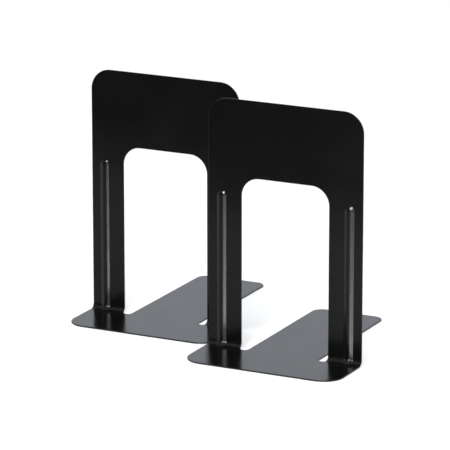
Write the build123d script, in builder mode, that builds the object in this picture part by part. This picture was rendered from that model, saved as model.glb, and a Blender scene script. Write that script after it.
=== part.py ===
"""A pair of sheet-steel book ends, each pressed and folded from one flat blank.

Each book end is an L: a base flange in front and an upright behind it, joined by a fold.
The upright's middle is cut out as a tongue that stays flat behind the fold, so that the
books stand on it and lean on the upright. What is left of the upright below the window
is two legs, and each leg is stiffened by a bead pressed into it.

Frame: millimetres, +Z up. The origin is on the floor at the middle of the rectangle that
the pair stands on. +X is to the right and +Y points the way that both tongues do.
"""

import os

from build123d import *

# The sheet, with its enamel, and the fold between base and upright
sheet_thickness = 1.1
bend_radius = 5.0

# Outline of one book end
width = 150.0
height = 228.0
flange_depth = 57.0
outline_corner_radius = 19.0

# Window in the upright, and the tongue whose metal came out of it
window_width = 85.0
window_height = 158.0
window_corner_radius = 17.0
tongue_width = 69.0
tongue_length = 142.0
tongue_corner_radius = 10.0

# Beads in the legs: low round ridges in front, hollow behind, that run out in the fold
bead_spacing = 124.0
bead_width = 9.5
bead_height = 1.6
bead_bottom = 1.5
bead_top = 144.5

# How far the right book end stands beside and in front of the left one
pair_step_x = 145.5
pair_step_y = 52.5

# Sizes that follow from those
outer_bend_radius = bend_radius + sheet_thickness
slot_width = (window_width - tongue_width) / 2
slot_spacing = window_width - slot_width
slot_length = bend_radius + tongue_length + slot_width
bead_end_radius = bead_width / 2
bead_radius = (bead_end_radius**2 + bead_height**2) / (2 * bead_height)
bead_axis_depth = bead_radius - bead_height
left_face_y = (pair_step_y + flange_depth - tongue_length) / 2


def bead_bar(centre_x, axis_y, radius):
    """A standing round bar with domed ends, of which a bead is a shallow slice."""
    middle_z = (bead_bottom + bead_top) / 2
    straight = bead_top - bead_bottom - bead_width
    with BuildPart() as bar:
        with BuildSketch(Plane.XZ.offset(-axis_y)):
            with Locations((centre_x, middle_z)):
                SlotCenterToCenter(straight, 2 * radius, rotation=90)
                Rectangle(
                    radius,
                    straight + 2 * radius,
                    align=(Align.MIN, Align.CENTER),
                    mode=Mode.INTERSECT,
                )
        revolve(axis=Axis((centre_x, axis_y, 0), (0, 0, 1)))
    return bar.part


def bead_ridge(centre_x, face_y):
    """The part of a bead's outer bar that stands out of the front face or lies in the sheet."""
    mid_sheet = Plane.XZ.offset(-(face_y + sheet_thickness / 2))
    with BuildPart() as ridge:
        add(bead_bar(centre_x, face_y + bead_axis_depth, bead_radius))
        split(bisect_by=mid_sheet, keep=Keep.TOP)
    return ridge.part


def make_bookend(centre_x, face_y):
    """One book end, with the middle of its upright's front face above (centre_x, face_y)."""
    fold_y = face_y - bend_radius
    back_y = face_y + sheet_thickness
    bead_centres = [centre_x + side * bead_spacing / 2 for side in (-1, 1)]
    ridges = [bead_ridge(bead_x, face_y) for bead_x in bead_centres]
    hollows = [
        bead_bar(bead_x, face_y + bead_axis_depth, bead_radius - sheet_thickness)
        for bead_x in bead_centres
    ]
    with BuildPart() as bookend:
        # Flange, fold and upright: the outer skin line, thickened inwards
        with BuildSketch(Plane.YZ.offset(centre_x - width / 2)):
            with BuildLine():
                FilletPolyline(
                    (face_y - flange_depth, 0),
                    (back_y, 0),
                    (back_y, height),
                    radius=outer_bend_radius,
                )
                offset(amount=sheet_thickness, side=Side.LEFT)
            make_face()
        extrude(amount=width)
        top_corners = bookend.edges().filter_by(Axis.Y).group_by(Axis.Z)[-1]
        fillet(top_corners, outline_corner_radius)
        front_corners = bookend.edges().filter_by(Axis.Z).group_by(Axis.Y)[0]
        fillet(front_corners, outline_corner_radius)

        # Window through the upright, with round upper corners
        with BuildSketch(Plane.XZ.offset(-back_y)) as window:
            with Locations((centre_x, 0)):
                Rectangle(window_width, window_height, align=(Align.CENTER, Align.MIN))
            fillet(window.vertices().group_by(Axis.Y)[-1], window_corner_radius)
        extrude(amount=sheet_thickness, mode=Mode.SUBTRACT)

        # Between the relief slots the fold gives way to the flat tongue
        with BuildSketch():
            with Locations((centre_x, fold_y)):
                Rectangle(slot_spacing, outer_bend_radius, align=(Align.CENTER, Align.MIN))
        extrude(amount=outer_bend_radius, mode=Mode.SUBTRACT)
        with BuildSketch():
            with Locations((centre_x, fold_y)):
                Rectangle(slot_spacing, bend_radius + tongue_length, align=(Align.CENTER, Align.MIN))
        extrude(amount=sheet_thickness)

        # Relief slots beside the tongue, round at the fold and open at the far end
        with BuildSketch():
            slot_middle_y = fold_y + slot_length / 2
            with Locations((centre_x, slot_middle_y)):
                with GridLocations(slot_spacing, 0, 2, 1):
                    SlotOverall(slot_length, slot_width, rotation=90)
        extrude(amount=outer_bend_radius, mode=Mode.SUBTRACT)
        tongue_corners = bookend.edges().filter_by(Axis.Z).group_by(Axis.Y)[-1]
        fillet(tongue_corners, tongue_corner_radius)

        # Beads: ridges in front, hollows of even wall thickness behind
        for ridge in ridges:
            add(ridge)
        for hollow in hollows:
            add(hollow, mode=Mode.SUBTRACT)
    return bookend.part


os.makedirs("parts", exist_ok=True)
places = {
    "left_bookend": (-pair_step_x / 2, left_face_y),
    "right_bookend": (pair_step_x / 2, left_face_y - pair_step_y),
}
for name, (centre_x, face_y) in places.items():
    bookend = make_bookend(centre_x, face_y)
    bookend.label = name
    export_step(bookend, f"parts/{name}.step")
    print(name, "volume", round(bookend.volume), "mm3, solids", len(bookend.solids()))
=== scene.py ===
# %% [markdown]
# # A pair of enamelled steel book ends
#
# A book end like this is one piece of sheet steel. A press cuts the outline and the window,
# presses a bead into each leg, and folds the sheet once, so that a flange lies in front and
# the upright stands behind it. The metal cut out of the window stays flat as a tongue that
# goes under the books. Then the whole thing is sprayed black and baked.
#
# There is nothing else in the object, so the work is in the sheet: one surface, bent and
# pressed by formulas, with rounded cut edges, under one good enamel. We start from the fixed
# CAD frame, which says where both book ends stand and how large they are.

# %% Load the fixed frame
import math

import bmesh
import bpy
import numpy as np
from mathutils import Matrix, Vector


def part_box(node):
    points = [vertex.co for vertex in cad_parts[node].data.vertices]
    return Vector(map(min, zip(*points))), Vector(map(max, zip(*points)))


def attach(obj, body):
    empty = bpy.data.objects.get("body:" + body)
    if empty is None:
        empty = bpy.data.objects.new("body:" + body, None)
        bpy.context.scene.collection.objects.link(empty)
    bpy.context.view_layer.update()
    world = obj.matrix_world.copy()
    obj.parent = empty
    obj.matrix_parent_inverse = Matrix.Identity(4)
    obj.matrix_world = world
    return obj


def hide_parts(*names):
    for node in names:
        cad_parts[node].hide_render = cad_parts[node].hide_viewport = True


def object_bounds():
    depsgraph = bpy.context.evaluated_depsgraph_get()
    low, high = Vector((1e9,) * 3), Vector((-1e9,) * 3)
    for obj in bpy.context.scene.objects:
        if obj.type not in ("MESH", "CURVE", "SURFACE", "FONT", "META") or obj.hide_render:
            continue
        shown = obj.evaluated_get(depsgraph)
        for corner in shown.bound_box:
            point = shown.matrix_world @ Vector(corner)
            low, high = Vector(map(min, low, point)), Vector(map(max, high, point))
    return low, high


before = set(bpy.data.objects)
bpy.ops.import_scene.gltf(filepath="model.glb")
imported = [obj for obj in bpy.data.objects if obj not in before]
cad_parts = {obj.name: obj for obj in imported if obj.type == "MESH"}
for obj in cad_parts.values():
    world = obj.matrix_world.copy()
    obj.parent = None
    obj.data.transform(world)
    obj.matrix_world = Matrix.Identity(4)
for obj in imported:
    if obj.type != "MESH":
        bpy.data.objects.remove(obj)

cad_low, cad_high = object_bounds()
print("CAD box in metres:", tuple(cad_low), tuple(cad_high))

# %% [markdown]
# ## The flat blank
#
# A folded sheet is easiest to think of before it is folded. On the flat blank every point
# has two coordinates: x across, and v along, counted from the line where the fold starts.
# The flange has v below zero. The legs, the upright and the tongue all have v above zero,
# because the tongue was part of the same flat sheet as the window around it.
#
# Lengths here are in millimetres, because that is how a sheet-metal drawing is written, and
# they become metres when the mesh is made. What the frame can tell is read from it.

# %% Sizes of the sheet
MM = 0.001
left_low, left_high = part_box("left_bookend")
WIDTH = (left_high.x - left_low.x) / MM
HEIGHT = left_high.z / MM
DEPTH = (left_high.y - left_low.y) / MM

SHEET = 1.1
BEND = 5.0
TONGUE_LENGTH = 142.0
FLANGE = DEPTH - TONGUE_LENGTH
OUTLINE_ROUND = 19.0
WINDOW_HALF = 42.5
WINDOW_TOP = 158.0
WINDOW_ROUND = 17.0
TONGUE_HALF = 34.5
TONGUE_ROUND = 10.0
EDGE_ROUND = 0.3
MARGIN = 0.8

HALF = WIDTH / 2
SLOT_MIDDLE = (WINDOW_HALF + TONGUE_HALF) / 2
SLOT_ROUND = (WINDOW_HALF - TONGUE_HALF) / 2
BEND_LENGTH = BEND * math.pi / 2
print(f"one book end: {WIDTH:.0f} x {DEPTH:.0f} x {HEIGHT:.0f} mm, flange {FLANGE:.0f} mm deep")


# %% Height on the blank
def along(z):
    """The v of a point of the upright that stands at height z once the sheet is folded."""
    return z - SHEET - BEND + BEND_LENGTH


V_FRONT = BEND - FLANGE
V_SPRING = along(WINDOW_TOP - WINDOW_ROUND)
V_WINDOW = along(WINDOW_TOP)
V_SHOULDER = along(HEIGHT - OUTLINE_ROUND)
V_TOP = along(HEIGHT)
V_TIP = TONGUE_LENGTH + BEND
print(f"the blank runs from v = {V_FRONT:.1f} to {V_TOP:.1f} mm")

# %% [markdown]
# ## The bead
#
# A flat leg 32 mm wide would bend easily, so a punch presses a long low ridge into it. The
# ridge could be a half-cylinder joined to the leg, but real sheet can't turn a sharp corner.
# Its section is a blunt roof: a round crown, two straight flanks, and at the foot of each
# flank an arc that turns the other way and runs out flat. The straight flanks matter for the
# look, because each mirrors one part of the room, and so shows as an even stripe.
#
# The height then depends only on one thing, the distance from the bead's centre line, and
# that gives the round ends for free. The slope comes from the same formula, and we need it,
# because the back of a pressed sheet is not the front moved along y. It is the front moved
# along its own normal by the thickness.

# %% The bead's section
BEAD_X = 62.0
BEAD_HEIGHT = 1.6
BEAD_FOOT = 4.95
CROWN_RADIUS = 5.8
FOOT_RADIUS = 1.3

# The two domes are centred here. The lower one is in the fold, so the bead runs out on the curve
BEAD_LOW = 5.0
BEAD_HIGH = along(139.8)

# The flank is the straight line that touches both arcs, which bend opposite ways
both_radii = CROWN_RADIUS + FOOT_RADIUS
drop = both_radii - BEAD_HEIGHT
reach = math.hypot(BEAD_FOOT, drop)
flank = math.atan2(BEAD_FOOT, drop) - math.acos(both_radii / reach)
CROWN_HALF = CROWN_RADIUS * math.sin(flank)
FOOT_START = BEAD_FOOT - FOOT_RADIUS * math.sin(flank)
FLANK_WIDTH = FOOT_START - CROWN_HALF
print(f"bead flanks slope {math.degrees(flank):.1f} degrees and are {FLANK_WIDTH:.1f} mm wide")


def bead(x, v):
    """Height of the bead above the leg, and its slope along x and along v.

    Distance d is taken from the centre line, a straight stretch at x = BEAD_X. The height is
    what three parts of the section still rise from d inwards: the foot arc, the straight
    flank, and the crown arc. The slope is that of whichever arc is less steep there, and
    neither arc gets steeper than the flank.
    """
    across = np.abs(x) - BEAD_X
    beyond = v - np.clip(v, BEAD_LOW, BEAD_HIGH)
    d = np.hypot(across, beyond)
    on_crown = np.minimum(d, CROWN_HALF)
    on_flank = np.clip(FOOT_START - d, 0, FLANK_WIDTH)
    on_foot = np.clip(BEAD_FOOT - d, 0, BEAD_FOOT - FOOT_START)
    crown_level = np.sqrt(CROWN_RADIUS**2 - on_crown**2)
    foot_level = np.sqrt(FOOT_RADIUS**2 - on_foot**2)
    crown_rise = crown_level - CROWN_RADIUS * math.cos(flank)
    height = FOOT_RADIUS - foot_level + on_flank * math.tan(flank) + crown_rise
    slope = -np.minimum(on_crown / crown_level, on_foot / foot_level)
    safe = np.maximum(d, 1e-9)
    return height, slope * across / safe * np.sign(x), slope * beyond / safe


# %% [markdown]
# ## Folding the blank
#
# Blender could bend a flat plate with a Simple Deform modifier, but that bends everything,
# and here the tongue has to stay flat while the legs beside it turn up. A formula says it
# exactly: arc length is kept, so a leg point with v between zero and the bend's length sits
# on a quarter circle at the angle v / radius, and beyond that it goes straight up.

# %% From blank to book end
def fold(x, v, depth, is_leg):
    """Places of blank points, in millimetres from the foot of the upright's front face.

    The point (x, v) lies on the front skin, and depth is how far below that skin it is,
    along the skin's normal. Legs turn up through a quarter circle of radius BEND about a
    line above v = 0. Everything else stays flat.
    """
    height, slope_x, slope_v = bead(x, v)
    height, slope_x, slope_v = (np.where(is_leg, part, 0) for part in (height, slope_x, slope_v))
    steep = np.sqrt(1 + slope_x**2 + slope_v**2)
    across = x + depth * slope_x / steep
    run = v + depth * slope_v / steep
    lift = height - depth / steep
    angle = np.where(is_leg, np.clip(run / BEND, 0, math.pi / 2), 0)
    straight = np.where(is_leg, np.maximum(run - BEND_LENGTH, 0), 0)
    flat_run = np.where(is_leg, np.minimum(run, 0), run)
    y = -BEND + flat_run + (BEND - lift) * np.sin(angle)
    z = SHEET + BEND - (BEND - lift) * np.cos(angle) + straight
    return np.stack([across, y, z], axis=-1)


# %% [markdown]
# ## Edges first
#
# Most of what makes sheet metal look real happens in its cut edge: a bright line a
# millimetre wide with two soft corners. So each edge is drawn first, as a row of points with
# the direction that leads out of the metal, and the skins are stretched between the edges.
# The skins stop a little short, and a rounded rim closes the last stretch.
#
# An arc is a centre, a radius and a range of angles. Where the metal is inside the arc, as
# on the outer corners, outwards is away from the centre. Around the window it is towards it.

# %% Pieces of edge
def arc(centre, radius, start, end, steps, inside):
    """Inset edge points and outward directions along an arc, angles in degrees.

    A point is the centre plus the radius times the direction of its angle. The radius is
    shortened by MARGIN where the metal is inside the arc, and lengthened where it is outside.
    """
    angle = np.radians(np.linspace(start, end, steps + 1))
    ray = np.stack([np.cos(angle), np.sin(angle)], axis=-1)
    if inside:
        return np.array(centre) + ray * (radius - MARGIN), ray
    return np.array(centre) + ray * (radius + MARGIN), -ray


def line(start, end, shares, outward):
    """Inset edge points along a straight edge, at the given shares of its length."""
    start, end, outward = (np.array(value, float) for value in (start, end, outward))
    points = start + (end - start) * np.asarray(shares)[:, None] - outward * MARGIN
    return points, np.broadcast_to(outward, points.shape)


def chain(*parts):
    """Edge pieces end to end. The first point of a piece repeats the last one's, so it goes."""
    points = [parts[0][0]] + [part[0][1:] for part in parts[1:]]
    outward = [parts[0][1]] + [part[1][1:] for part in parts[1:]]
    return np.concatenate(points), np.concatenate(outward)


def even(steps):
    """Shares from 0 to 1 in equal steps."""
    return np.linspace(0, 1, steps + 1)


# %% [markdown]
# ## Where the grid is fine
#
# A grid needs many lines where the surface turns and few where it is flat. Across a leg the
# lines crowd over the bead. Along it they crowd in the fold, where the bead's lower end runs
# out. The bead's upper dome reaches past the height where the window starts to round over,
# so the first few degrees of the window's corner have close lines too.

# %% Spacing of the grid lines
SLOT_STEPS = 14
DOME_STEPS = 12
CORNER_STEPS = 40
TOP_STEPS = 12
SHOULDER_STEPS = 8
OUTLINE_ARC_STEPS = 22
OUTLINE_TOP_STEPS = 10
FLANGE_STEPS = 10
FRONT_ARC_STEPS = 16
TONGUE_ALONG = 16
TONGUE_ARC_STEPS = 12
TONGUE_ACROSS = 24
DOME_ANGLE = 17.0


def crowd(stops, steps):
    """A rising row of numbers that passes through the stops, with that many steps between."""
    parts = [np.linspace(a, b, n, endpoint=False) for a, b, n in zip(stops, stops[1:], steps)]
    return np.append(np.concatenate(parts), stops[-1])


def shares_of(row):
    """The same row, as shares of its own length."""
    return (row - row[0]) / (row[-1] - row[0])


across_stops = [WINDOW_HALF + MARGIN, BEAD_X - BEAD_FOOT, BEAD_X + BEAD_FOOT, HALF - MARGIN]
leg_across = crowd(across_stops, steps=[8, 30, 6])
leg_along = crowd([SLOT_ROUND, BEND_LENGTH, BEAD_HIGH, V_SPRING], steps=[12, 60, 4])
print(f"{len(leg_across)} lines across a leg and {len(leg_along)} along it")

# %% [markdown]
# ## The edges of the right half
#
# The window's edge starts at the bottom of a relief slot. That slot is what lets the leg
# fold while the tongue beside it stays flat, and its round end keeps the sheet from tearing
# there. From it the edge goes up the leg and round the window's corner.
#
# The outline beside it has the same heights all the way up the leg, so that the grid lines
# between the two are level. Above the bead they fan out round the corner.

# %% Window edge, outline, front edge and tongue edge
slot_centre = (SLOT_MIDDLE, SLOT_ROUND)
window_centre = (WINDOW_HALF - WINDOW_ROUND, V_SPRING)
leg_top = V_SPRING + (WINDOW_ROUND + MARGIN) * math.sin(math.radians(DOME_ANGLE))

window_edge = chain(
    arc(slot_centre, SLOT_ROUND, -90, 0, SLOT_STEPS, inside=False),
    line((WINDOW_HALF, SLOT_ROUND), (WINDOW_HALF, V_SPRING), shares_of(leg_along), (-1, 0)),
    arc(window_centre, WINDOW_ROUND, 0, DOME_ANGLE, DOME_STEPS, inside=False),
    arc(window_centre, WINDOW_ROUND, DOME_ANGLE, 90, CORNER_STEPS, inside=False),
)
level = window_edge[0][: SLOT_STEPS + len(leg_along) + DOME_STEPS, 1]
outline = chain(
    line((HALF, level[0]), (HALF, level[-1]), shares_of(level), (1, 0)),
    line((HALF, leg_top), (HALF, V_SHOULDER), even(SHOULDER_STEPS), (1, 0)),
    arc(
        (HALF - OUTLINE_ROUND, V_SHOULDER),
        OUTLINE_ROUND, 0, 90, OUTLINE_ARC_STEPS, inside=True,
    ),
    line(
        (HALF - OUTLINE_ROUND, V_TOP),
        (window_centre[0], V_TOP),
        even(OUTLINE_TOP_STEPS),
        (0, 1),
    ),
)
front_edge = chain(
    line(
        (SLOT_MIDDLE, V_FRONT),
        (HALF - OUTLINE_ROUND, V_FRONT),
        even(len(leg_across) - 1 - FRONT_ARC_STEPS),
        (0, -1),
    ),
    arc(
        (HALF - OUTLINE_ROUND, V_FRONT + OUTLINE_ROUND),
        OUTLINE_ROUND, -90, 0, FRONT_ARC_STEPS, inside=True,
    ),
)
tongue_edge = chain(
    arc(slot_centre, SLOT_ROUND, -90, -180, SLOT_STEPS, inside=False),
    line(
        (TONGUE_HALF, SLOT_ROUND),
        (TONGUE_HALF, V_TIP - TONGUE_ROUND),
        even(TONGUE_ALONG),
        (1, 0),
    ),
    arc(
        (TONGUE_HALF - TONGUE_ROUND, V_TIP - TONGUE_ROUND),
        TONGUE_ROUND, 0, 90, TONGUE_ARC_STEPS, inside=True,
    ),
)
print("edge points:", [len(edge[0]) for edge in (window_edge, outline, front_edge, tongue_edge)])


# %% Mirror the right half
def other_side(edge):
    """The same edge on the left half, run the same way."""
    flip = np.array([-1.0, 1.0])
    return edge[0] * flip, edge[1] * flip


def backwards(edge):
    """The same edge, run from its end to its start."""
    return edge[0][::-1], edge[1][::-1]


window_x = window_centre[0]
tip_x = TONGUE_HALF - TONGUE_ROUND
window_head = line((window_x, V_WINDOW), (-window_x, V_WINDOW), even(TOP_STEPS), (0, -1))
outline_head = line((window_x, V_TOP), (-window_x, V_TOP), even(TOP_STEPS), (0, 1))
front_middle = line((-SLOT_MIDDLE, V_FRONT), (SLOT_MIDDLE, V_FRONT), even(TONGUE_ACROSS), (0, -1))
tongue_tip = line((-tip_x, V_TIP), (tip_x, V_TIP), even(TONGUE_ACROSS), (0, 1))

whole_window = chain(window_edge, window_head, backwards(other_side(window_edge)))
whole_outline = chain(outline, outline_head, backwards(other_side(outline)))
whole_front = chain(backwards(other_side(front_edge)), front_middle, front_edge)
whole_tongue = chain(other_side(tongue_edge), tongue_tip, backwards(tongue_edge))
whole_edges = (whole_window, whole_outline, whole_front, whole_tongue)
print("points on whole edges:", [len(edge[0]) for edge in whole_edges])

# %% [markdown]
# ## Skins
#
# Between two edges the sheet is ruled: each grid line is a straight line on the blank from a
# point of one edge to its partner on the other. Three ruled patches cover the whole blank.
# The arch runs from one leg over the top to the other. The flange lies between the foot line
# and the front edge, and the tongue between its own two sides.
#
# They meet along the foot line with the very same points, so they can be welded later.


# %% Ruled patches on the blank
def ruled(first, second, shares):
    """A grid of blank points. Row i runs straight from first[i] to second[i] by the shares."""
    shares = np.asarray(shares)[None, :, None]
    return first[:, None] * (1 - shares) + second[:, None] * shares


arch = ruled(whole_window[0], whole_outline[0], shares_of(leg_across))
tongue = ruled(other_side(tongue_edge)[0], tongue_edge[0], even(TONGUE_ACROSS))
foot_line = np.concatenate([arch[-1][::-1], tongue[0][1:-1], arch[0]])
flange = ruled(foot_line, whole_front[0], even(FLANGE_STEPS))
patches = [(arch, True), (tongue, False), (flange, False)]
print("grid sizes:", [patch.shape[:2] for patch, _ in patches])

# %% [markdown]
# ## The rim
#
# A shear leaves a square edge, and a file, a tumbler or just the enamel rounds it a little.
# Solidify and Bevel modifiers could do this, but a bevel is clumsy at the bottom of a slot.
# So the rim is a profile carried along the edge: it leaves the front skin, rounds over, goes
# down the thickness of the sheet and rounds under to the back skin.

# %% Profile of the rim
ROUND_STEPS = 5
quarter = np.linspace(0, math.pi / 2, ROUND_STEPS)
round_out = MARGIN - EDGE_ROUND + EDGE_ROUND * np.sin(quarter)
round_down = EDGE_ROUND - EDGE_ROUND * np.cos(quarter)
rim_out = np.concatenate([[0], round_out, round_out[::-1], [0]])
rim_depth = np.concatenate([[0], round_down, SHEET - round_down[::-1], [SHEET]])
rim_worn = np.concatenate([[0], np.sin(quarter), np.sin(quarter[::-1]), [0]])
print(f"{len(rim_out)} points round the rim, {EDGE_ROUND} mm radius on each corner")


def rim(edge, is_leg):
    """Folded rim points along an edge: each edge point moved out and down by the profile."""
    points = edge[0][:, None] + edge[1][:, None] * rim_out[None, :, None]
    return fold(points[..., 0], points[..., 1], rim_depth[None, :], is_leg)


# %% [markdown]
# ## Putting one book end together
#
# The front skin is every patch at depth zero, and the back skin is the same patches one
# sheet thickness down. The rims close them into one solid skin with no holes. A float
# attribute goes along: it is one on the rounded corners of the rim, where the enamel pulls
# thin, and zero on the flats, and the enamel material will read it.


# %% All the grids of one book end
side_edge = line((HALF, V_FRONT + OUTLINE_ROUND), (HALF, level[0]), even(FLANGE_STEPS), (1, 0))
outer_loop = chain(whole_front, side_edge, whole_outline, backwards(other_side(side_edge)))

grids = []
for patch, is_leg in patches:
    for depth in (0, SHEET):
        skin = fold(patch[..., 0], patch[..., 1], depth, is_leg)
        grids.append((skin, np.zeros(skin.shape[:2])))
for edge, is_leg in ((outer_loop, True), (whole_window, True), (whole_tongue, False)):
    strip = rim(edge, is_leg)
    grids.append((strip, np.broadcast_to(rim_worn, strip.shape[:2])))
print("points in all grids:", sum(points.shape[0] * points.shape[1] for points, _ in grids))


# %% From grids to a closed mesh
def quads_of(rows, columns, first):
    """Corner numbers of a grid's faces. Its points are numbered row by row from first."""
    number = first + np.arange(rows * columns).reshape(rows, columns)
    corners = (number[:-1, :-1], number[1:, :-1], number[1:, 1:], number[:-1, 1:])
    return np.stack(corners, axis=-1).reshape(-1, 4)


WELD_DISTANCE = 0.002


def weld(mesh):
    """Joins points that lie together, turns all faces outwards and measures the result."""
    shell = bmesh.new()
    shell.from_mesh(mesh)
    bmesh.ops.remove_doubles(shell, verts=shell.verts, dist=WELD_DISTANCE * MM)
    bmesh.ops.recalc_face_normals(shell, faces=shell.faces)
    open_edges = [edge for edge in shell.edges if not edge.is_manifold]
    volume = shell.calc_volume(signed=True) / MM**3
    print(f"{mesh.name}: {len(open_edges)} open edges, {volume:.0f} mm3 of steel")
    shell.to_mesh(mesh)
    shell.free()


def book_end(name, node):
    """A book end in place of a CAD node: its tongue tip and its middle are where the node's are."""
    low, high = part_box(node)
    foot = np.array([(low.x + high.x) / 2, high.y - TONGUE_LENGTH * MM, 0])
    counts = [points.shape[0] * points.shape[1] for points, _ in grids]
    firsts = np.cumsum([0] + counts[:-1])
    places = np.concatenate([points.reshape(-1, 3) for points, _ in grids]) * MM + foot
    faces = [quads_of(*points.shape[:2], first) for (points, _), first in zip(grids, firsts)]
    mesh = bpy.data.meshes.new(name)
    mesh.from_pydata(places, [], np.concatenate(faces))
    worn = mesh.attributes.new("worn", "FLOAT", "POINT")
    worn.data.foreach_set("value", np.concatenate([wear.ravel() for _, wear in grids]))
    weld(mesh)
    mesh.shade_smooth()
    piece = bpy.data.objects.new(name, mesh)
    bpy.context.scene.collection.objects.link(piece)
    return piece


# %% [markdown]
# ## The enamel
#
# The real finish is a black baked enamel: paint is sprayed on the steel and flows out in the
# oven into a smooth, hard, semi-gloss skin. It is a dielectric, with an index of refraction
# near 1.5 like most lacquers, so it is black straight on and turns into a dull mirror at a
# grazing angle. That one fact makes the base look grey and the upright look black.
#
# Perfect smoothness would look like plastic sheet. Baked paint keeps a little orange peel,
# shallow ripples one to two millimetres across, and its gloss drifts a little over a few
# centimetres. On the sharp rims it pulls thin and dries duller and greyer.


# %% Colours and nodes
def linear(hex_colour):
    """An sRGB hex colour as the linear RGBA that shaders use."""
    srgb = np.array([int(hex_colour[i : i + 2], 16) for i in (1, 3, 5)]) / 255
    rgb = np.where(srgb <= 0.04045, srgb / 12.92, ((srgb + 0.055) / 1.055) ** 2.4)
    return (*rgb.tolist(), 1.0)


def add_node(tree, kind, settings=None, inputs=None, links=None):
    """Adds a node, sets its properties and input values, and links inputs from other sockets."""
    node = tree.nodes.new(kind)
    for name, value in (settings or {}).items():
        setattr(node, name, value)
    for name, value in (inputs or {}).items():
        node.inputs[name].default_value = value
    for name, socket in (links or {}).items():
        tree.links.new(socket, node.inputs[name])
    return node


# %% Measures of the enamel
# The first three are noise scales, in cycles to the metre. The height is in millimetres
DRIFT_SCALE = 28.0
THIN_SCALE = 220.0
RIPPLE_SCALE = 620.0
RIPPLE_HEIGHT = 0.008
GLOSSY, LESS_GLOSSY = 0.17, 0.23
RIM_ROUGHER_BY = 0.12
print(f"orange peel: ripples {1 / RIPPLE_SCALE / MM:.1f} mm across and {RIPPLE_HEIGHT} mm high")


# %% Black baked enamel
def black_baked_enamel():
    """Sprayed and baked black enamel on sheet steel: near black, semi-gloss, orange peel."""
    material = bpy.data.materials.new("black_baked_enamel")
    material.use_nodes = True
    tree = material.node_tree
    tree.nodes.clear()
    place = add_node(tree, "ShaderNodeTexCoord").outputs["Object"]
    worn = add_node(tree, "ShaderNodeAttribute", {"attribute_name": "worn"}).outputs["Fac"]

    # Gloss drifts slowly over the flats. Noise keeps mostly between 0.3 and 0.7
    drift = add_node(
        tree, "ShaderNodeTexNoise",
        inputs={"Scale": DRIFT_SCALE, "Detail": 2.0, "Roughness": 0.5}, links={"Vector": place},
    ).outputs["Fac"]
    flat_rough = add_node(
        tree, "ShaderNodeMapRange",
        inputs={"From Min": 0.3, "From Max": 0.7, "To Min": GLOSSY, "To Max": LESS_GLOSSY},
        links={"Value": drift},
    ).outputs["Result"]
    roughness = add_node(
        tree, "ShaderNodeMath", {"operation": "MULTIPLY_ADD"},
        {1: RIM_ROUGHER_BY}, {0: worn, 2: flat_rough},
    ).outputs["Value"]

    # Thin enamel on the rims lets the grey of the steel through, more in some places
    patches_fac = add_node(
        tree, "ShaderNodeTexNoise",
        inputs={"Scale": THIN_SCALE, "Detail": 3.0}, links={"Vector": place},
    ).outputs["Fac"]
    thin = add_node(
        tree, "ShaderNodeMath", {"operation": "MULTIPLY"}, None, {0: worn, 1: patches_fac},
    ).outputs["Value"]
    colour = add_node(
        tree, "ShaderNodeMix", {"data_type": "RGBA"}, None, {"Factor": thin},
    )
    colour.inputs["A"].default_value = linear("#090909")
    colour.inputs["B"].default_value = linear("#1e1e1f")

    # Orange peel: wide shallow ripples, only a few thousandths of a millimetre high
    ripple = add_node(
        tree, "ShaderNodeTexNoise",
        inputs={"Scale": RIPPLE_SCALE, "Detail": 1.0}, links={"Vector": place},
    ).outputs["Fac"]
    peel = add_node(
        tree, "ShaderNodeBump",
        inputs={"Strength": 1.0, "Distance": RIPPLE_HEIGHT * MM}, links={"Height": ripple},
    ).outputs["Normal"]

    shader = add_node(
        tree, "ShaderNodeBsdfPrincipled",
        inputs={"IOR": 1.5, "Metallic": 0.0},
        links={"Base Color": colour.outputs["Result"], "Roughness": roughness, "Normal": peel},
    )
    add_node(tree, "ShaderNodeOutputMaterial", links={"Surface": shader.outputs["BSDF"]})
    return material


enamel = black_baked_enamel()
print("material:", enamel.name)

# %% Both book ends
for side in ("left", "right"):
    piece = book_end(f"{side}_book_end", f"{side}_bookend")
    piece.data.materials.append(enamel)
    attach(piece, side)
    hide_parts(f"{side}_bookend")

# %% [markdown]
# ## The studio
#
# A black glossy thing shows its surroundings more than itself, so the set is built for what
# each face mirrors. The base mirrors the wall behind it, low down, so a pale backdrop is
# there and the rest of the room is grey. The uprights mirror what stands in front of them,
# and a black flag there keeps them black. Product sets often lay mirror acrylic on the table:
# it doubles the soft box at the right, which draws the bright line on the flank of each bead.
# A small box higher up puts the bright dot on each bead's upper dome.
#
# The paper floor and the acrylic can't both be in one place, so each is seen by its own kind
# of ray: the floor by the camera and by diffuse light, the acrylic and the flag only in
# reflections.

# %% Cards and soft boxes
def flat_card(name, centre, across, up, material, mirrored):
    """A rectangle from its centre and two half-extent vectors.

    A mirrored card shows only in reflections. Any other card shows everywhere but there.
    """
    centre, across, up = (np.array(value, float) for value in (centre, across, up))
    corners = [centre - across - up, centre + across - up, centre + across + up, centre - across + up]
    mesh = bpy.data.meshes.new(name)
    mesh.from_pydata(corners, [], [(0, 1, 2, 3)])
    mesh.materials.append(material)
    card = bpy.data.objects.new(name, mesh)
    bpy.context.scene.collection.objects.link(card)
    card.visible_glossy = mirrored
    card.visible_camera = not mirrored
    card.visible_diffuse = not mirrored
    card.visible_shadow = not mirrored


def plain(name, hex_colour, roughness, metallic=0.0):
    """A plain studio surface of one colour, part mirror where metallic is above zero."""
    material = bpy.data.materials.new(name)
    material.use_nodes = True
    shader = material.node_tree.nodes["Principled BSDF"]
    shader.inputs["Base Color"].default_value = linear(hex_colour)
    shader.inputs["Roughness"].default_value = roughness
    shader.inputs["Metallic"].default_value = metallic
    return material


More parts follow.
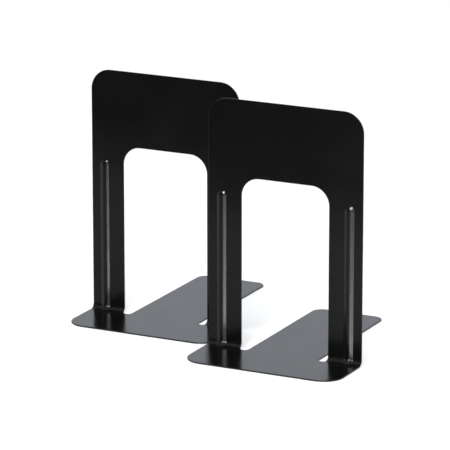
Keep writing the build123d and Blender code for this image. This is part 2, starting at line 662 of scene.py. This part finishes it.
def soft_box(name, place, target, width, height, radiance, mirrored):
    """A rectangular soft box. Its power is pi times its area times the radiance it shows."""
    lamp = bpy.data.lights.new(name, "AREA")
    lamp.shape = "RECTANGLE"
    lamp.size = width
    lamp.size_y = height
    lamp.energy = math.pi * width * height * radiance
    holder = bpy.data.objects.new(name, lamp)
    holder.location = place
    aim = (target - holder.location).to_track_quat("-Z", "Y")
    holder.rotation_euler = aim.to_euler()
    holder.visible_camera = False
    holder.visible_glossy = mirrored
    bpy.context.scene.collection.objects.link(holder)


# %% Floor, acrylic and flag
# The floor and the acrylic lie a hair below the base, so that no two surfaces coincide
TABLE_HALF = 5
paper = plain("matt_white_paper", "#f4f4f4", 0.9)
acrylic = plain("mirror_acrylic", "#f3f3f3", 0.12, metallic=0.68)
black_card = plain("black_card", "#202020", 1.0)
for name, height, material, mirrored in (
    ("floor", -0.0002, paper, False),
    ("acrylic", -0.0001, acrylic, True),
):
    flat_card(name, (0, 0, height), (TABLE_HALF, 0, 0), (0, TABLE_HALF, 0), material, mirrored)
flat_card("black_flag", (-0.365, -0.5, 0.16), (0.385, 0, 0), (0, 0, 0.16), black_card, mirrored=True)
print("stage surfaces:", paper.name, acrylic.name, black_card.name)

# %% Lights
middle = (cad_low + cad_high) / 2
soft_box("low_right_box", (0.68, -1.52, 0.67), middle, 0.44, 0.60, radiance=10, mirrored=True)
soft_box("small_high_box", (0.26, -1.7, 0.87), middle, 0.28, 0.24, radiance=60, mirrored=True)
soft_box("ceiling_box", (0, 0, 3), middle, 5, 5, radiance=1.6, mirrored=False)
print("lights:", [lamp.name for lamp in bpy.data.lights])

# %% The room
# How far a direction points to the backdrop is a cosine, and the backdrop fades between two
ROOM = (0.36, 0.37, 0.38, 1)
BACKDROP = (0.85, 0.89, 0.96, 1)
BACKDROP_WAY = (-0.43, 0.86, 0.26)
FADE_FROM, FADE_TO = 0.65, 0.88
world = bpy.data.worlds.new("studio")
world.use_nodes = True
room = world.node_tree
direction = add_node(room, "ShaderNodeTexCoord").outputs["Generated"]
facing = add_node(
    room, "ShaderNodeVectorMath", {"operation": "DOT_PRODUCT"}, {1: BACKDROP_WAY}, {0: direction},
).outputs["Value"]
share = add_node(
    room, "ShaderNodeMapRange",
    inputs={"From Min": FADE_FROM, "From Max": FADE_TO}, links={"Value": facing},
).outputs["Result"]
shade = add_node(room, "ShaderNodeMix", {"data_type": "RGBA"}, None, {"Factor": share})
shade.inputs["A"].default_value = ROOM
shade.inputs["B"].default_value = BACKDROP
room.links.new(shade.outputs["Result"], room.nodes["Background"].inputs["Color"])
bpy.context.scene.world = world
print("room nodes:", len(room.nodes))

# %% [markdown]
# ## The camera
#
# The pair is seen from the right and a little above, through a long lens, so that the far
# book end is hardly smaller than the near one.

# %% Camera
CAMERA_AZIMUTH = 26.4
CAMERA_ELEVATION = 15.27
CAMERA_DISTANCE = 3.248
LENS = 288.0
aim_at = np.array([-0.01205, -0.01625, 0.09644])
azimuth, elevation = math.radians(CAMERA_AZIMUTH), math.radians(CAMERA_ELEVATION)
back = np.array([
    math.sin(azimuth) * math.cos(elevation),
    -math.cos(azimuth) * math.cos(elevation),
    math.sin(elevation),
])
camera = bpy.data.objects.new("camera", bpy.data.cameras.new("camera"))
camera.data.lens = LENS
camera.location = aim_at + back * CAMERA_DISTANCE
camera.rotation_euler = (math.radians(90) - elevation, 0, azimuth)
bpy.context.scene.collection.objects.link(camera)
bpy.context.scene.camera = camera
bpy.context.scene.view_settings.view_transform = "Standard"
print("camera at", [round(value, 3) for value in camera.location])
